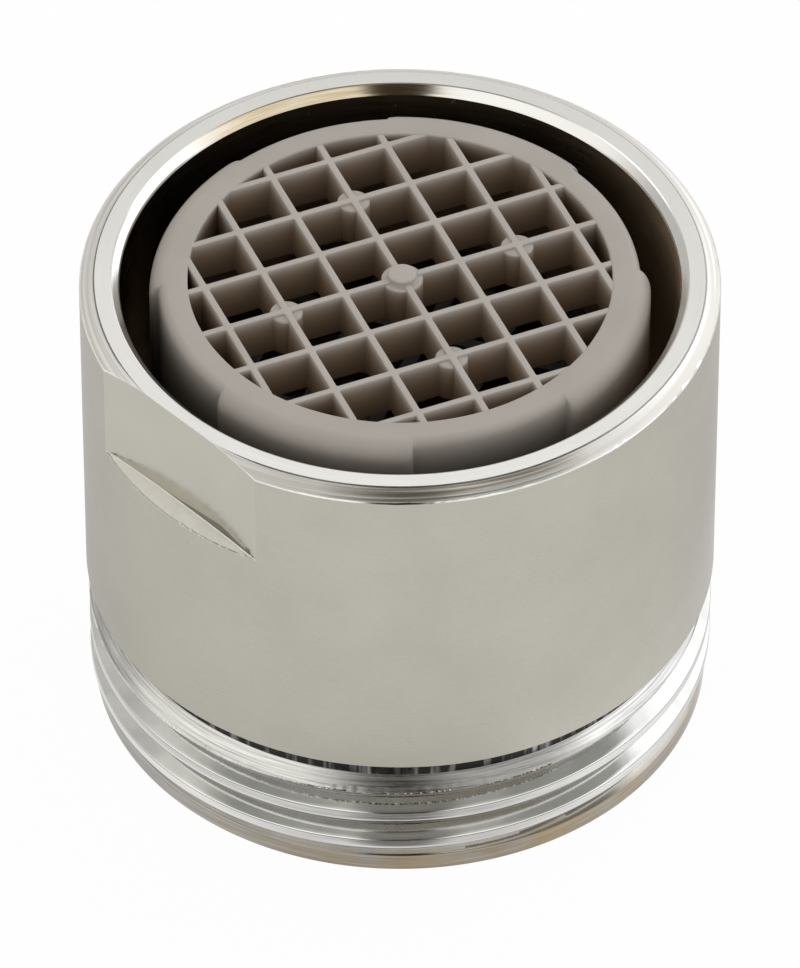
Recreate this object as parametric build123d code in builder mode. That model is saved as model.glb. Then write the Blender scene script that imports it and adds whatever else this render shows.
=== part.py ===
from build123d import *
import os
from math import floor, radians, sqrt, tan

# Tap aerator with a male thread, in millimetres.
# It stands on its inlet washer, on the Z axis, with the outlet grid up.
# The wrench flat faces -Y.

# Housing, turned from brass and plated
body_diameter = 16.5
housing_height = 13.75
threaded_height = 4.1
thread_step = 0.05
undercut_depth = 0.45
undercut_width = 0.7
thread_flank_angle = 30
runout_angle = 45
pilot_height = 0.65
end_chamfer = 0.12
rim_chamfer_width = 0.40
rim_chamfer_height = 0.24
rim_wall = 1.04
mouth_chamfer_width = 0.17
mouth_chamfer_depth = 0.27
neck_wall = 0.7
inlet_chamfer = 0.2
seat_width = 0.5
collar_height = 0.9
wrench_flat_depth = 0.5
wrench_flat_height = 3.05

# Fits between the housing and what it holds
insert_clearance = 0.1
lug_clearance = 0.15
seal_proud = 0.3

# Outlet cup, moulded in one piece with the square grid
insert_turn = -20.7
outlet_recess = 0.03
cup_flange_height = 1.2
lug_height = 0.25
lug_span = 50
lug_count = 4
lug_drop = 0.3
lug_bevel = 0.2
ring_width = 0.74
ring_bevel = 0.16
cup_wall = 0.45
screen_seat_depth = 3.6
window_gap = 0.3
window_height = 1.8
window_width = 2.4

# Square grid in the outlet, with its moulding posts
rib_pitch = 1.61
rib_top_width = 0.19
rib_foot_width = 0.27
rib_depth = 1.15
rib_drop = 0.02
rib_bite = 0.1
post_diameter = 0.85
post_drop = 0.07
post_pitches = 2
hub_diameter = 1.08
hub_drop = 0.05
button_diameter = 0.74
button_height = 0.17

# Mixing screens, stacked against the step inside the cup
screen_height = 0.9
screen_rim_width = 0.5
screen_plate = 0.35
screen_pitch = 1.9
screen_bar = 0.35
screen_turn = 45

# Jet splitter, a perforated plate on a flanged spigot
splitter_flange_height = 1.2
spigot_height = 1.4
spigot_wall = 0.65
jet_plate = 0.8
jet_length = 1.0
jet_width = 0.45
jet_edge = 0.9
jet_row_pitch = 1.6
jet_rows = 2
jets_on_inner_row = 8

# Strainer, a shallow sieve cup on the inlet side
strainer_rim_height = 0.8
strainer_shell = 0.4
strainer_gap = 0.25
strainer_headroom = 0.6
strainer_slope = 25
sieve_pitch = 1.25
sieve_hole = 0.8
sieve_edge = 0.15

# Sealing washer
washer_thickness = 2.0
washer_width = 2.05

# Radii, from the outside in
body_radius = body_diameter / 2
bore_radius = body_radius - rim_wall
thread_radius = body_radius - thread_step
undercut_radius = body_radius - undercut_depth
counterbore_radius = undercut_radius - neck_wall
collar_radius = counterbore_radius - seat_width
flange_radius = counterbore_radius - insert_clearance
lug_radius = collar_radius - lug_clearance
cup_radius = lug_radius - lug_height
outlet_radius = cup_radius - ring_width
chamber_radius = cup_radius - cup_wall
spigot_radius = chamber_radius - insert_clearance
bowl_radius = spigot_radius - spigot_wall
washer_hole_radius = flange_radius - washer_width
strainer_radius = washer_hole_radius - strainer_gap

# Levels, from the inlet up
metal_end = seal_proud
rim_level = metal_end + housing_height
shoulder_level = metal_end + threaded_height
strainer_level = washer_thickness
splitter_level = strainer_level + strainer_rim_height
cup_level = splitter_level + splitter_flange_height
collar_level = cup_level + cup_flange_height
collar_top = collar_level + collar_height
window_level = collar_top + window_gap
ring_top = rim_level - outlet_recess
grid_top = ring_top - rib_drop
grid_foot = grid_top - rib_depth
screen_seat = ring_top - screen_seat_depth

# The insert's own plane, turned against the wrench flat as the part was put together
insert_plane = Plane.XY.rotated((0, 0, insert_turn))

os.makedirs("parts", exist_ok=True)

# Housing: one turned section, then the milled wrench flat
undercut_foot = shoulder_level - undercut_width
thread_depth = thread_radius - undercut_radius
thread_top = undercut_foot - thread_depth * tan(radians(runout_angle))
pilot_top = metal_end + pilot_height
thread_start = pilot_top + thread_depth * tan(radians(thread_flank_angle))

with BuildPart() as housing:
    with BuildSketch(Plane.XZ):
        with BuildLine():
            Polyline(
                (counterbore_radius + inlet_chamfer, metal_end),
                (undercut_radius - end_chamfer, metal_end),
                (undercut_radius, metal_end + end_chamfer),
                (undercut_radius, pilot_top),
                (thread_radius, thread_start),
                (thread_radius, thread_top),
                (undercut_radius, undercut_foot),
                (undercut_radius, shoulder_level),
                (body_radius, shoulder_level),
                (body_radius, rim_level - rim_chamfer_height),
                (body_radius - rim_chamfer_width, rim_level),
                (bore_radius + mouth_chamfer_width, rim_level),
                (bore_radius, rim_level - mouth_chamfer_depth),
                (bore_radius, collar_top),
                (collar_radius, collar_top),
                (collar_radius, collar_level),
                (counterbore_radius, collar_level),
                (counterbore_radius, metal_end + inlet_chamfer),
                close=True,
            )
        make_face()
    revolve(axis=Axis.Z)
    with BuildSketch(Plane.XY.offset(rim_level)):
        with Locations((0, -body_radius)):
            Rectangle(body_diameter, 2 * wrench_flat_depth)
    extrude(amount=-wrench_flat_height, mode=Mode.SUBTRACT)

housing.part.label = "housing"
export_step(housing.part, "parts/housing.step")

# Outlet grid: tapered ribs both ways, four moulding posts and the middle hub with its button
ribs_each_side = floor(outlet_radius / rib_pitch)
rib_count = 2 * ribs_each_side + 1
grid_radius = outlet_radius + rib_bite
grid_origin = (0, 0, grid_top)
rib_planes = (
    Plane(grid_origin, x_dir=insert_plane.x_dir, z_dir=-insert_plane.y_dir),
    Plane(grid_origin, x_dir=insert_plane.y_dir, z_dir=insert_plane.x_dir),
)

with BuildPart() as outlet_grid:
    for rib_plane in rib_planes:
        with BuildSketch(rib_plane):
            with GridLocations(rib_pitch, rib_pitch, rib_count, 1):
                Polygon(
                    (-rib_top_width / 2, 0),
                    (rib_top_width / 2, 0),
                    (rib_foot_width / 2, -rib_depth),
                    (-rib_foot_width / 2, -rib_depth),
                    align=None,
                )
        extrude(amount=grid_radius, both=True)
    with BuildSketch(Plane.XY.offset(grid_foot)):
        Circle(grid_radius)
    extrude(amount=rib_depth, mode=Mode.INTERSECT)
    with BuildSketch(insert_plane.offset(grid_foot)):
        with PolarLocations(post_pitches * rib_pitch, 4):
            Circle(post_diameter / 2)
    extrude(amount=rib_depth - post_drop)
    with BuildSketch(insert_plane.offset(grid_foot)):
        Circle(hub_diameter / 2)
    extrude(amount=rib_depth - hub_drop)
    with BuildSketch(insert_plane.offset(grid_top - hub_drop)):
        Circle(button_diameter / 2)
    extrude(amount=button_height)

# Outlet cup: flanged wall and ring, lugs that guide it through the collar, air windows, grid
lug_top = ring_top - lug_drop
gap_angle = 360 / lug_count - lug_span
gap_edge = Vector(2 * lug_radius, 0).rotate(Axis.Z, gap_angle / 2)

with BuildPart() as outlet_cup:
    with BuildSketch(Plane.XZ):
        with BuildLine():
            Polyline(
                (chamber_radius, cup_level),
                (flange_radius, cup_level),
                (flange_radius, collar_level),
                (cup_radius, collar_level),
                (cup_radius, ring_top),
                (outlet_radius, ring_top),
                (outlet_radius, screen_seat),
                (chamber_radius, screen_seat),
                close=True,
            )
        make_face()
    revolve(axis=Axis.Z)
    ring_edge = outlet_cup.edges().filter_by(GeomType.CIRCLE).group_by(Axis.Z)[-1].sort_by(SortBy.RADIUS)[-1]
    chamfer(ring_edge, ring_bevel)
    with BuildSketch(insert_plane.offset(collar_level)):
        Circle(lug_radius)
        with PolarLocations(0, lug_count):
            Polygon((0, 0), (gap_edge.X, -gap_edge.Y), (gap_edge.X, gap_edge.Y), align=None, mode=Mode.SUBTRACT)
        Circle(cup_radius - cup_wall / 2, mode=Mode.SUBTRACT)
    extrude(amount=lug_top - collar_level)
    lug_faces = outlet_cup.faces().filter_by(GeomType.CYLINDER)
    lug_faces = lug_faces.filter_by(lambda face: abs(face.radius - lug_radius) < lug_height / 2)
    lug_edges = lug_faces.edges().filter_by(lambda edge: edge.center().Z > collar_level + lug_height)
    chamfer(lug_edges, lug_bevel)
    with BuildSketch(insert_plane.offset(window_level)):
        with PolarLocations(cup_radius, lug_count):
            Rectangle(2 * ring_width, window_width)
    extrude(amount=window_height, mode=Mode.SUBTRACT)
    add(outlet_grid.part)

outlet_cup.part.label = "outlet_cup"
export_step(outlet_cup.part, "parts/outlet_cup.step")

# Mixing screens: rimmed grids, one under the other, turned so that their bars don't line up
screen_radius = chamber_radius - insert_clearance
screen_opening = screen_radius - screen_rim_width
screen_bars = 2 * floor(screen_opening / screen_pitch) + 1
screen_stack = (
    ("outlet_screen", screen_seat - screen_height, insert_turn + screen_turn),
    ("inlet_screen", screen_seat - 2 * screen_height, insert_turn),
)

for screen_name, screen_level, bar_turn in screen_stack:
    screen_plane = Plane.XY.offset(screen_level).rotated((0, 0, bar_turn))
    with BuildPart() as mixing_screen:
        with BuildSketch(screen_plane):
            Circle(screen_radius)
            Circle(screen_opening, mode=Mode.SUBTRACT)
        extrude(amount=screen_height)
        with BuildSketch(screen_plane.offset(screen_height - screen_plate)):
            with GridLocations(screen_pitch, screen_pitch, screen_bars, 1):
                Rectangle(screen_bar, 2 * screen_radius)
            with GridLocations(screen_pitch, screen_pitch, 1, screen_bars):
                Rectangle(2 * screen_radius, screen_bar)
            Circle(screen_opening + screen_rim_width / 2, mode=Mode.INTERSECT)
        extrude(amount=screen_plate)
    mixing_screen.part.label = screen_name
    export_step(mixing_screen.part, f"parts/{screen_name}.step")

# Jet splitter: flange, spigot up into the cup, and rows of jets through its plate
plate_level = cup_level + spigot_height - jet_plate

with BuildPart() as jet_splitter:
    with BuildSketch(Plane.XZ):
        with BuildLine():
            Polyline(
                (bowl_radius, splitter_level),
                (flange_radius, splitter_level),
                (flange_radius, cup_level),
                (spigot_radius, cup_level),
                (spigot_radius, plate_level + jet_plate),
                (0, plate_level + jet_plate),
                (0, plate_level),
                (bowl_radius, plate_level),
                close=True,
            )
        make_face()
    revolve(axis=Axis.Z)
    with BuildSketch(Plane.XY.offset(plate_level)):
        for row in range(jet_rows):
            row_radius = bowl_radius - jet_edge - row * jet_row_pitch
            with PolarLocations(row_radius, jets_on_inner_row * (jet_rows - row)):
                Rectangle(jet_length, jet_width)
    extrude(amount=jet_plate, mode=Mode.SUBTRACT)

jet_splitter.part.label = "jet_splitter"
export_step(jet_splitter.part, "parts/jet_splitter.step")

# Strainer: flat rim and a sloping cup that reaches into the washer's hole, with a sieve floor
sieve_level = strainer_headroom
sieve_floor = sieve_level + strainer_shell
slope_run = tan(radians(strainer_slope))
foot_radius = strainer_radius - (strainer_level - sieve_level) * slope_run
mouth_radius = strainer_radius - strainer_shell
floor_radius = mouth_radius - (strainer_level - sieve_floor) * slope_run
sieve_radius = floor_radius - sieve_edge - sieve_hole / 2
sieve_steps = range(-floor(sieve_radius / sieve_pitch), floor(sieve_radius / sieve_pitch) + 1)
sieve_places = [
    (column * sieve_pitch, row * sieve_pitch)
    for column in sieve_steps
    for row in sieve_steps
    if sqrt(column ** 2 + row ** 2) * sieve_pitch < sieve_radius
]

with BuildPart() as strainer:
    with BuildSketch(Plane.XZ):
        with BuildLine():
            Polyline(
                (0, sieve_level),
                (foot_radius, sieve_level),
                (strainer_radius, strainer_level),
                (flange_radius, strainer_level),
                (flange_radius, splitter_level),
                (mouth_radius, splitter_level),
                (mouth_radius, strainer_level),
                (floor_radius, sieve_floor),
                (0, sieve_floor),
                close=True,
            )
        make_face()
    revolve(axis=Axis.Z)
    with BuildSketch(Plane.XY.offset(sieve_level)):
        with Locations(*sieve_places):
            Rectangle(sieve_hole, sieve_hole)
    extrude(amount=strainer_shell, mode=Mode.SUBTRACT)

strainer.part.label = "strainer"
export_step(strainer.part, "parts/strainer.step")

# Sealing washer: stands proud of the metal end and seals against the spout
with BuildPart() as sealing_washer:
    with BuildSketch():
        Circle(flange_radius)
        Circle(washer_hole_radius, mode=Mode.SUBTRACT)
    extrude(amount=washer_thickness)

sealing_washer.part.label = "sealing_washer"
export_step(sealing_washer.part, "parts/sealing_washer.step")
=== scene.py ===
from math import acos, asin, cos, hypot, pi, radians, sin, sqrt, tan

import bmesh
import bpy
import numpy as np
from bpy.props import FloatProperty, FloatVectorProperty, IntProperty, PointerProperty
from bpy.types import NodeSocket, Operator, Panel, PropertyGroup
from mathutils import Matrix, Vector


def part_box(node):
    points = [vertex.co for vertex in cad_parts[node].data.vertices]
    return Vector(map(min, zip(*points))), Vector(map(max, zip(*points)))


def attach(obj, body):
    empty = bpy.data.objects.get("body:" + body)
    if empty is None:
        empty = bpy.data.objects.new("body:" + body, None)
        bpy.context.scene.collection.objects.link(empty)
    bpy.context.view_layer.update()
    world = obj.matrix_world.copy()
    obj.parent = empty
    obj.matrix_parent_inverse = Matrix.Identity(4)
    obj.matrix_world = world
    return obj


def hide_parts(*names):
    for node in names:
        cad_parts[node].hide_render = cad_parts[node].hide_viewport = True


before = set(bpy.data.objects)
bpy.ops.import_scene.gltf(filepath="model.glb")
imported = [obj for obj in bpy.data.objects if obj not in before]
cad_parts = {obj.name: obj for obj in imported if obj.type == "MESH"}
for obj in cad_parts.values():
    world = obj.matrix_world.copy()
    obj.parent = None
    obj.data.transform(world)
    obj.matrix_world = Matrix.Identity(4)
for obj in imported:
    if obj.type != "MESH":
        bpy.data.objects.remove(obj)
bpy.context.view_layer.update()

bl_info = {
    "name": "Tap Aerator",
    "version": (1, 0, 0),
    "blender": (4, 5, 0),
    "location": "View3D > Sidebar > Aerator",
    "description": "Dresses a tap aerator: plated housing, moulded outlet grid and inner pieces",
    "category": "Add Mesh",
}

MM = 0.001
HOUSING_LOW, HOUSING_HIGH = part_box("housing")
CUP_LOW, CUP_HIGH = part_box("outlet_cup")


def length(description, metres):
    """A length that a user can change, in metres."""
    return FloatProperty, dict(description=description, default=metres, precision=5, unit="LENGTH")


def angle(description, degrees):
    """An angle that a user can change, written in degrees."""
    return FloatProperty, dict(description=description, default=radians(degrees), subtype="ANGLE")


def count(description, number):
    """A whole number that a user can change."""
    return IntProperty, dict(description=description, default=number, min=1)


def share(description, value):
    """A plain number that a user can change."""
    return FloatProperty, dict(description=description, default=value)


def colour(description, tint):
    """A colour that a user can change, in linear light."""
    options = dict(description=description, default=tint, subtype="COLOR", size=3, min=0)
    return FloatVectorProperty, options


def part_of(description, group):
    """A group of settings inside another."""
    return PointerProperty, dict(description=description, type=group)


def labelled(group):
    """Makes the properties of a group, each with the name of its field."""
    for field, (kind, options) in group.__annotations__.items():
        name = field.replace("_", " ").capitalize()
        group.__annotations__[field] = kind(name=name, **options)
    return group


@labelled
class AeratorHousingSizes(PropertyGroup):
    """Sizes of the turned and plated housing"""

    body_diameter: length("Across the plain body", HOUSING_HIGH.x - HOUSING_LOW.x)
    metal_end: length("Height of the metal's lower end", HOUSING_LOW.z)
    rim_level: length("Height of the rim", HOUSING_HIGH.z)
    threaded_height: length("From the metal end to the shoulder", 4.1 * MM)
    undercut_depth: length("From the body to the undercut's floor", 0.45 * MM)
    undercut_width: length("Height of the undercut's floor", 0.7 * MM)
    pilot_height: length("Plain pilot below the thread", 0.68 * MM)
    pilot_step: length("How far the pilot lies inside the body", 0.17 * MM)
    end_chamfer: length("Chamfer at the pilot's end", 0.20 * MM)
    rim_chamfer_width: length("Outer rim chamfer, along the radius", 0.40 * MM)
    rim_chamfer_height: length("Outer rim chamfer, along the axis", 0.24 * MM)
    rim_wall: length("From the body to the bore", 1.04 * MM)
    mouth_chamfer_width: length("Inner rim chamfer, along the radius", 0.21 * MM)
    mouth_chamfer_depth: length("Inner rim chamfer, along the axis", 0.21 * MM)
    neck_wall: length("From the undercut to the counterbore", 0.7 * MM)
    inlet_chamfer: length("Chamfer at the counterbore's mouth", 0.2 * MM)
    seat_width: length("From the counterbore to the collar", 0.5 * MM)
    collar_level: length("Height of the collar's underside", 5.2 * MM)
    collar_height: length("Height of the collar", 0.9 * MM)
    wrench_flat_depth: length("From the body to the milled flat", 0.5 * MM)
    wrench_flat_height: length("From the rim to the flat's ledge", 3.05 * MM)
    edge_break: length("Small round on the turned edges", 0.022 * MM)
    burr_height: length("Ragged burr along the milled ledge", 0.10 * MM)
    # Painted dark reflection: height of the darker strip above the ledge
    dark_reflection_height: length("Darker strip that the cutter rubbed above the ledge", 0.32 * MM)
    chatter: length("Depth of the tool marks in the undercut", 0.012 * MM)
    undercut_taper: length("How much wider the undercut is at its top", 0.04 * MM)
    rim_hollow: length("How hollow the outer rim chamfer is", 0.004 * MM)
    ledge_rise: share("How steeply the ledge rises towards the flat", 0.2)
    rim_ragged: length("How far the outer rim chamfer's lower edge wanders", 0.04 * MM)
    columns: count("Steps round the housing", 660)
    flat_columns: count("Steps across the wrench flat", 132)


@labelled
class AeratorThreadSizes(PropertyGroup):
    """Sizes of the male thread"""

    pitch: length("From crest to crest", 1.0 * MM)
    crest_step: length("How far the crests lie inside the body", 0.05 * MM)
    crest_width: length("Flat at the crest", 0.33 * MM)
    depth: length("From the crest to the root", 0.40 * MM)
    flank_angle: angle("Between a flank and the plane across the axis", 30)
    start_level: length("Height of a crest's middle at the start angle", 2.505 * MM)
    start_angle: angle("Angle at which the start level holds", -43.7)
    runout_angle: angle("Slope of the cone between the thread and the undercut", 45)
    upper_round: length("Round at the crest's upper edge", 0.05 * MM)
    lower_round: length("Round at the crest's lower edge", 0.22 * MM)
    root_round: length("Round at the root's corners", 0.05 * MM)
    burr: length("Torn metal on the last crest", 0.035 * MM)


@labelled
class AeratorInsertSizes(PropertyGroup):
    """Sizes of the grey outlet moulding"""

    turn: angle("Turn of the insert against the wrench flat", -20.7)
    flange_diameter: length("Across the flange", CUP_HIGH.x - CUP_LOW.x)
    flange_level: length("Height of the flange's underside", CUP_LOW.z)
    flange_height: length("Thickness of the flange", 1.2 * MM)
    ring_top: length("Height of the outlet ring", 14.02 * MM)
    ring_radius: length("Outer radius of the ring and the cup's wall", 6.2 * MM)
    ring_width: length("Width of the outlet ring", 0.74 * MM)
    ring_round: length("Round on the ring's outer edge, along the radius", 0.24 * MM)
    ring_fall: length("Round on the ring's outer edge, along the axis", 0.30 * MM)
    ring_inner_round: length("Round on the ring's inner edge", 0.05 * MM)
    wall: length("Thickness of the cup's wall", 0.45 * MM)
    lug_height: length("How far the lugs stand out of the wall", 0.25 * MM)
    lug_span: angle("Angle that one lug takes up", 50)
    lug_count: count("Lugs round the cup", 4)
    lug_fall: length("How much further down the lugs' round tops reach", 0.28 * MM)
    lug_round: length("Round on the lugs' side edges", 0.32 * MM)
    screen_seat: length("Height of the step that the screens rest against", 10.42 * MM)
    window_level: length("Height of the air windows' foot", 6.4 * MM)
    window_height: length("Height of the air windows", 1.8 * MM)
    window_width: length("Width of the air windows", 2.4 * MM)
    rib_pitch: length("From rib to rib", 1.61 * MM)
    rib_top_width: length("Width of a rib at its top", 0.19 * MM)
    rib_foot_width: length("Width of a rib at its foot", 0.27 * MM)
    rib_depth: length("Height of the ribs", 1.15 * MM)
    rib_drop: length("From the ring's top to the ribs' tops", 0.02 * MM)
    rib_round: length("Round on the ribs' top edges", 0.04 * MM)
    grid_shift: length("How far the grid lies off the ring's middle", 0.055 * MM)
    grid_shift_way: angle("Direction in which the grid lies off the middle", 46)
    post_diameter: length("Across a moulding post", 0.85 * MM)
    post_drop: length("From the ribs' tops to a post's top", 0.07 * MM)
    post_pitches: count("Rib pitches from the middle to a post", 2)
    hub_diameter: length("Across the middle hub", 1.08 * MM)
    hub_drop: length("From the ribs' tops to the hub's top", 0.05 * MM)
    button_diameter: length("Across the button on the hub", 0.74 * MM)
    button_height: length("How far the button stands out of the hub", 0.17 * MM)
    post_round: length("Round on the posts' and the button's edges", 0.05 * MM)
    columns: count("Steps round the cup", 360)


@labelled
class AeratorFinishes(PropertyGroup):
    """Colours of the finishes, and the sides on which they change"""

    satin_plate: colour("Plain body and wrench flat", (0.573, 0.552, 0.490))
    bright_plate: colour("Thread, undercut and chamfers", (0.84, 0.835, 0.81))
    # Partly painted shade: the bore's plate is darkened for the shade in the recess
    faced_plate: colour("Faced ring of the rim", (0.64, 0.635, 0.615))
    bore_plate: colour("Thin, dull plating in the bore", (0.22, 0.175, 0.125))
    tarnish: colour("Brown bloom on the pilot", (0.40, 0.31, 0.19))
    tarnish_side: angle("Direction in which the pilot is brownest", -16)
    # Painted highlight: a near-white copy of the plate for the light the ledge catches
    ledge_plate: colour("Ledge below the wrench flat", (0.96, 0.93, 0.86))
    worn_brass: colour("Brass that shows on worn edges", (0.57, 0.45, 0.27))
    moulding: colour("Warm grey outlet moulding", (0.440, 0.403, 0.371))
    # Painted shade: the brown tone deep in the grid's cells
    moulding_shade: colour("Brown film deep in the grid's cells", (0.205, 0.143, 0.095))
    screens: colour("Dark mixing screens", (0.020, 0.018, 0.016))
    splitter: colour("Jet splitter", (0.22, 0.21, 0.20))
    strainer: colour("Light strainer", (0.55, 0.55, 0.54))
    rubber: colour("Sealing washer", (0.028, 0.027, 0.026))
    # Painted shade: below this height the pilot is darker, and brown where tarnished
    pilot_full: length("Height up to which the pilot is dull and brown", 0.9 * MM)
    pilot_end: length("Height at which the thread is bright again", 1.25 * MM)
    rim_brown: colour("Brown rings on the outer rim chamfer", (0.42, 0.34, 0.26))
    # Painted shade: colour of the thread roots near the wear and shade side
    root_shade: colour("Thread roots on the wear and shade side", (0.25, 0.235, 0.205))
    dust: colour("Specks of dust in the bore", (0.5, 0.47, 0.42))
    # Near this direction the roots and run-out cone get painted shade and painted dark reflection,
    # and the edges and rim chamfer show worn brass and brown stains
    wear_and_shade_side: angle("Direction in which the thread and the rim are worn and brown", -33)
    thin_side: angle("Direction in which the inner chamfer's plate is worn thin", 155)
    painted_light_side: angle("Direction in which the bore is palest", 46)


@labelled
class AeratorStage(PropertyGroup):
    """Camera, light and floor"""

    view_azimuth: angle("Camera's angle round the part", 46.3)
    view_elevation: angle("Camera's angle above the floor", 43.72)
    view_distance: length("From the camera to its target", 0.2808)
    view_height: length("Height of the camera's target", 6.625 * MM)
    lens: share("Focal length in millimetres on a 36 mm sensor", 399.3)
    floor_size: length("Side of the floor", 3.0)
    floor_colour: colour("Pale floor", (0.93, 0.93, 0.93))
    floor_glow: share("Share of the floor that shows as plain white", 0.97)
    floor_mirror: share("Share of the floor that metal shows as plain white", 0.42)
    # Painted light: the metal sees the floor brighter at the foot and close by on the right
    floor_right: share("The same share at the foot and close by on the right", 0.95)
    shade_reach: length("Size of the shade that metal shows before the part's foot", 1.6 * MM)
    back_light: colour("Large panel behind the part", (1.6, 1.6, 1.57))
    back_wall: colour("Wall below the back panel", (0.55, 0.54, 0.515))
    top_light: colour("Grey ceiling over the part", (0.31, 0.315, 0.295))
    right_light: colour("Bright panel on the right", (1.3, 1.31, 1.33))
    left_light: colour("Warm panel on the left", (1.06, 1.045, 1.0))
    front_light: colour("Panels beside the camera", (1.10, 1.09, 1.05))
    front_dark: colour("Dark strip behind the camera", (0.045, 0.034, 0.022))


@labelled
class AeratorSettings(PropertyGroup):
    """All settings of the aerator"""

    housing: part_of("Sizes of the plated housing", AeratorHousingSizes)
    thread: part_of("Sizes of the male thread", AeratorThreadSizes)
    insert: part_of("Sizes of the grey outlet moulding", AeratorInsertSizes)
    finish: part_of("Colours of the finishes", AeratorFinishes)
    stage: part_of("Camera, light and floor", AeratorStage)


# Mesh tools

class Shell:
    """Points and faces of one mesh, gathered row by row."""

    def __init__(self, angles):
        self.angles = np.asarray(angles, float)
        self.points = []
        self.faces = []
        self.marks = []
        self.total = 0

    def add(self, points):
        """Adds points and returns their numbers."""
        first = self.total
        self.points.append(points)
        self.total += len(points)
        return np.arange(first, self.total)

    def row(self, radius, height):
        """Adds one point for each column, at its radius and height."""
        height = np.broadcast_to(height, self.angles.shape)
        flat = [radius * np.cos(self.angles), radius * np.sin(self.angles)]
        return self.add(np.stack([*flat, height], axis=1))

    def level(self, outline, height):
        """Adds the points of a flat outline at one height."""
        return self.add(np.column_stack([outline, np.full(len(outline), height)]))

    def quads(self, a, b, c, d, mark):
        """Adds one face for each set of four points."""
        rows = np.stack([a, b, c, d], axis=1)
        self.faces.extend(rows.tolist())
        self.marks.extend(np.broadcast_to(mark, len(rows)).tolist())

    def face(self, numbers, mark):
        """Adds one face."""
        self.faces.append([int(number) for number in numbers])
        self.marks.append(mark)

    def band(self, lower, upper, mark, keep=slice(None), lower_end=None, upper_end=None):
        """Joins two rows all the way round, to the given ends where they don't close."""
        lower_next = np.append(lower[1:], lower[0] if lower_end is None else lower_end)
        upper_next = np.append(upper[1:], upper[0] if upper_end is None else upper_end)
        self.quads(lower[keep], lower_next[keep], upper_next[keep], upper[keep], mark)

    def mesh(self, name, materials, sharp, merge=2e-7):
        """Makes the object: joins points that meet, turns faces outwards and marks sharp edges."""
        mesh = bpy.data.meshes.new(name)
        mesh.from_pydata(np.concatenate(self.points).tolist(), [], self.faces)
        mesh.polygons.foreach_set("material_index", self.marks)
        work = bmesh.new()
        work.from_mesh(mesh)
        bmesh.ops.remove_doubles(work, verts=work.verts, dist=merge)
        bmesh.ops.dissolve_degenerate(work, dist=merge, edges=work.edges)
        bmesh.ops.recalc_face_normals(work, faces=work.faces)
        for face in work.faces:
            face.smooth = True
        for edge in work.edges:
            marks = {face.material_index for face in edge.link_faces}
            edge.smooth = len(marks) == 1 and edge.calc_face_angle(0) < sharp
        work.to_mesh(mesh)
        work.free()
        for material in materials:
            mesh.materials.append(material)
        piece = bpy.data.objects.new(name, mesh)
        bpy.context.scene.collection.objects.link(piece)
        return piece


def smooth_noise(generator, size, width):
    """Random numbers round a closed ring, evened out over a few columns, from -1 to 1."""
    values = generator.normal(size=size)
    weights = np.hanning(width + 2)[1:-1]
    padded = np.concatenate([values[-width:], values, values[:width]])
    evened = np.convolve(padded, weights / weights.sum(), mode="same")[width:-width]
    return evened / np.abs(evened).max()


def turned(angles, about):
    """Angles measured from a direction, from minus a half turn to a half turn."""
    return (angles - about + pi) % (2 * pi) - pi


def aim(way):
    """A step of length 1 in a direction of the plane."""
    return np.array([cos(way), sin(way)])


def circle(steps):
    """Points round a circle of radius 1."""
    ways = np.linspace(0, 2 * pi, steps, endpoint=False)
    return np.column_stack([np.cos(ways), np.sin(ways)])


# Housing

PLAIN, BRIGHT, FACED, BORE, FLAT, LEDGE, GROOVE, WORN, DARK_REFLECTION, MOUTH, RIM, RUNOUT, SHADED = range(13)
HOUSING_SEED = 7
SHARP_METAL = radians(14)

# Wrench flat: its direction, margins that tell columns at its edges apart, and its strip of painted
# dark reflection
FLAT_MIDDLE = -pi / 2
CLEAR_OF_FLAT, ON_FLAT_EDGE = 1.02, 1.0001
DARK_REFLECTION_START, DARK_REFLECTION_FULL = 0.22, 0.77

# Rows of the thread's profile
CREST_PARTS, CREST_STEPS, FLANK_PARTS, ROOT_STEPS = 4, 6, 5, 3
SPARE_TURNS = 2

# Wear of the thread: first worn turn, share of the depth, and pitches below the run-out
FIRST_WORN_TURN = 1
WORN_SHARE = 0.3
TORN_PITCHES, TORN_RISE = 1.1, 0.5
BRIGHT_FOOT = 0.3 * MM

# Columns over which the random marks of the tools are evened out
BURR_WIDTH, CHATTER_WIDTH = 2, 4
TEAR_WIDTH, TEAR_PATCH = 2, 31
RAGGED_WIDTH, RAGGED_PATCH = 3, 25
TORN_BURR, BURR_SHARPNESS = 0.3, 1.5

# Rows up the outer rim chamfer, of which the first one wanders
FIRST_RISE, FIRST_WANDER, WANDER_SHIFT, RAGGED_BASE = 0.05, 0.14, 3, 0.3
RIM_RISES = (0.2, 0.35, 0.5, 0.65, 0.8, 0.9)
GROOVE_FLOOR = 0.95


def flat_half_angle(sizes):
    """Half the angle that the wrench flat takes up."""
    return acos(1 - 2 * sizes.wrench_flat_depth / sizes.body_diameter)


def housing_columns(sizes):
    """Angles round the housing, closer on the wrench flat, with a column on each of its edges."""
    half_flat = flat_half_angle(sizes)
    plain = np.linspace(-pi, pi, sizes.columns, endpoint=False)
    plain = plain[np.abs(turned(plain, FLAT_MIDDLE)) > half_flat * CLEAR_OF_FLAT]
    close = np.linspace(-half_flat, half_flat, sizes.flat_columns)
    return np.sort(np.concatenate([plain, FLAT_MIDDLE + close]))


def edge_arc(half, rounding, turn, steps):
    """A rounded crest edge: offset from the crest's middle and drop below the crest."""
    start = half - rounding * tan(turn / 2)
    bends = [turn * step / steps for step in range(steps + 1)]
    return [(start + rounding * sin(bend), rounding * (1 - cos(bend))) for bend in bends]


def between(start, end, parts):
    """Points that part the way from one point to another."""
    way = np.subtract(end, start)
    return [tuple(np.add(start, way * step / parts)) for step in range(1, parts)]


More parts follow.
